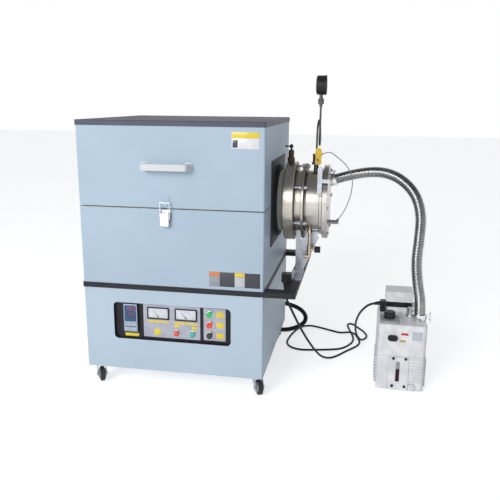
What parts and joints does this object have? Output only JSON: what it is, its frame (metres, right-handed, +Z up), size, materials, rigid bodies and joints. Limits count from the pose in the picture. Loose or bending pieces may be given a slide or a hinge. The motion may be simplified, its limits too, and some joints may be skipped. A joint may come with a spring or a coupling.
{
  "type": "hinged tube furnace with vacuum pump",
  "caption": "Pale blue lift-lid tube furnace on casters with a sealed flange, pressure gauge, bellows hose and rotary vane vacuum pump.",
  "frame": {"origin": "centre of the cabinet's footprint on the floor", "axes": "+X towards the flange and the pump, +Y towards the back of the cabinet, +Z up"},
  "size_m": [1.136, 0.881, 1.027],
  "materials": {
    "blue_paint": "satin",
    "black_paint": "satin",
    "chrome": "polished",
    "steel": "brushed",
    "brass": "satin",
    "fibre": "matte",
    "alumina": "satin",
    "zinc": "satin",
    "white_paint": "satin",
    "white_plastic": "matte",
    "black_plastic": "matte",
    "grey_plastic": "matte",
    "yellow_plastic": "glossy",
    "green_plastic": "glossy",
    "red_plastic": "glossy",
    "rubber": "matte",
    "tyre": "matte"
  },
  "bodies": {
    "cabinet": {"lower_cabinet": "blue_paint", "rear_panel": "blue_paint", "base_frame": "black_paint", "furnace_shell": "blue_paint", "lower_heater_module": "fibre", "retort_tube": "alumina", "lower_side_plate": "black_paint", "hinge_leaves": "zinc", "latch_base": "chrome", "inner_flange": "steel", "flange_neck": "steel", "end_flange": "steel", "flange_bolts": "zinc", "gauge_line": "chrome", "gauge_case": "chrome", "bleed_valve_body": "brass", "drain_valve_body": "brass", "gas_capillary": "chrome", "support_post": "zinc", "lead_connectors": "black_plastic", "control_panel": "steel", "panel_instruments": "black_plastic", "button_bezels": "chrome", "mains_gland": "black_plastic", "pump_oil_case": "white_paint", "pump_body": "white_paint", "pump_sight_window": "white_paint", "pump_terminal_box": "white_plastic", "pump_ports": "grey_plastic", "hose_clamps": "chrome", "vacuum_hose": "steel", "pump_lead": "rubber", "mains_cable": "rubber", "mains_coil": "rubber", "mains_plug": "black_plastic"},
    "lid": {"lid_shell": "blue_paint", "top_plate": "black_paint", "upper_heater_module": "fibre", "upper_side_plate": "black_paint", "lid_handle": "white_paint", "lid_hinge_arms": "zinc"},
    "latch_lever_body": {"latch_lever": "chrome"},
    "latch_bail_body": {"latch_bail": "chrome"},
    "flange_latch_body": {"flange_latch": "steel"},
    "ball_valve_lever_body": {"ball_valve_lever": "yellow_plastic"},
    "bleed_valve_lever_body": {"bleed_valve_lever": "chrome"},
    "drain_valve_knob_body": {"drain_valve_knob": "black_plastic"},
    "gauge_needle_body": {"gauge_needle": "black_plastic"},
    "voltmeter_needle_body": {"voltmeter_needle": "black_plastic"},
    "ammeter_needle_body": {"ammeter_needle": "black_plastic"},
    "green_button_body": {"green_button": "green_plastic"},
    "red_button_body": {"red_button": "red_plastic"},
    "black_button_body": {"black_button": "black_plastic"},
    "front_left_fork_body": {"front_left_fork": "zinc"},
    "front_right_fork_body": {"front_right_fork": "zinc"},
    "front_left_wheel_body": {"front_left_wheel": "tyre"},
    "front_right_wheel_body": {"front_right_wheel": "tyre"},
    "rear_left_wheel_body": {"rear_left_wheel": "tyre"},
    "rear_right_wheel_body": {"rear_right_wheel": "tyre"},
    "ballast_knob_body": {"ballast_knob": "black_plastic"}
  },
  "joints": [
    {"name": "lid_hinge", "type": "hinge", "parent": "cabinet", "child": "lid", "pos_m": [0, 0.306, 0.614], "axis": [-1, 0, 0], "range_deg": [0, 70]},
    {"name": "latch_lever_pivot", "type": "hinge", "parent": "cabinet", "child": "latch_lever_body", "pos_m": [-0.012, -0.302, 0.6], "axis": [-1, 0, 0], "range_deg": [0, 100]},
    {"name": "latch_bail_pivot", "type": "hinge", "parent": "latch_lever_body", "child": "latch_bail_body", "pos_m": [-0.012, -0.307, 0.584], "axis": [-1, 0, 0], "range_deg": [-100, 0]},
    {"name": "flange_latch_pivot", "type": "hinge", "parent": "cabinet", "child": "flange_latch_body", "pos_m": [0.453, -0.113, 0.65], "axis": [0, -1, 0], "range_deg": [0, 25]},
    {"name": "ball_valve", "type": "hinge", "parent": "cabinet", "child": "ball_valve_lever_body", "pos_m": [0.436, -0.0204, 0.752], "axis": [0, 1, 0], "range_deg": [0, 90]},
    {"name": "bleed_valve", "type": "hinge", "parent": "cabinet", "child": "bleed_valve_lever_body", "pos_m": [0.344, 0, 0.793], "axis": [0, 0, 1], "range_deg": [0, 90]},
    {"name": "drain_valve", "type": "hinge", "parent": "cabinet", "child": "drain_valve_knob_body", "pos_m": [0.448, -0.07, 0.453], "axis": [1, 0, 0], "range_deg": [-720, 0]},
    {"name": "gauge_pointer", "type": "hinge", "parent": "cabinet", "child": "gauge_needle_body", "pos_m": [0.449, 0, 0.995], "axis": [-1, 0, 0], "range_deg": [0, 270]},
    {"name": "voltmeter_pointer", "type": "hinge", "parent": "cabinet", "child": "voltmeter_needle_body", "pos_m": [-0.05, -0.288, 0.2525], "axis": [0, 1, 0], "range_deg": [0, 76]},
    {"name": "ammeter_pointer", "type": "hinge", "parent": "cabinet", "child": "ammeter_needle_body", "pos_m": [0.04425, -0.288, 0.2525], "axis": [0, 1, 0], "range_deg": [0, 76]},
    {"name": "green_button_press", "type": "slide", "parent": "cabinet", "child": "green_button_body", "axis": [0, 1, 0], "range_m": [0, 0.003], "stiffness_N_per_m": 400},
    {"name": "red_button_press", "type": "slide", "parent": "cabinet", "child": "red_button_body", "axis": [0, 1, 0], "range_m": [0, 0.003], "stiffness_N_per_m": 400},
    {"name": "black_button_press", "type": "slide", "parent": "cabinet", "child": "black_button_body", "axis": [0, 1, 0], "range_m": [0, 0.003], "stiffness_N_per_m": 400},
    {"name": "front_left_swivel", "type": "hinge", "parent": "cabinet", "child": "front_left_fork_body", "pos_m": [-0.274, -0.25, 0.05], "axis": [0, 0, 1], "continuous": true},
    {"name": "front_right_swivel", "type": "hinge", "parent": "cabinet", "child": "front_right_fork_body", "pos_m": [0.274, -0.25, 0.05], "axis": [0, 0, 1], "continuous": true},
    {"name": "front_left_roll", "type": "hinge", "parent": "front_left_fork_body", "child": "front_left_wheel_body", "pos_m": [-0.263, -0.26905, 0.025], "axis": [0.866, 0.5, 0], "continuous": true},
    {"name": "rear_left_roll", "type": "hinge", "parent": "cabinet", "child": "rear_left_wheel_body", "pos_m": [-0.274, 0.228, 0.025], "axis": [1, 0, 0], "continuous": true},
    {"name": "front_right_roll", "type": "hinge", "parent": "front_right_fork_body", "child": "front_right_wheel_body", "pos_m": [0.285, -0.26905, 0.025], "axis": [0.866, 0.5, 0], "continuous": true},
    {"name": "rear_right_roll", "type": "hinge", "parent": "cabinet", "child": "rear_right_wheel_body", "pos_m": [0.274, 0.228, 0.025], "axis": [1, 0, 0], "continuous": true},
    {"name": "ballast_turn", "type": "hinge", "parent": "cabinet", "child": "ballast_knob_body", "pos_m": [0.6985, -0.115, 0.25], "axis": [0, 0, 1], "range_deg": [0, 120]}
  ],
  "couplings": [
    {"joint": "latch_bail_pivot", "follows": "latch_lever_pivot", "ratio": -1}
  ]
}
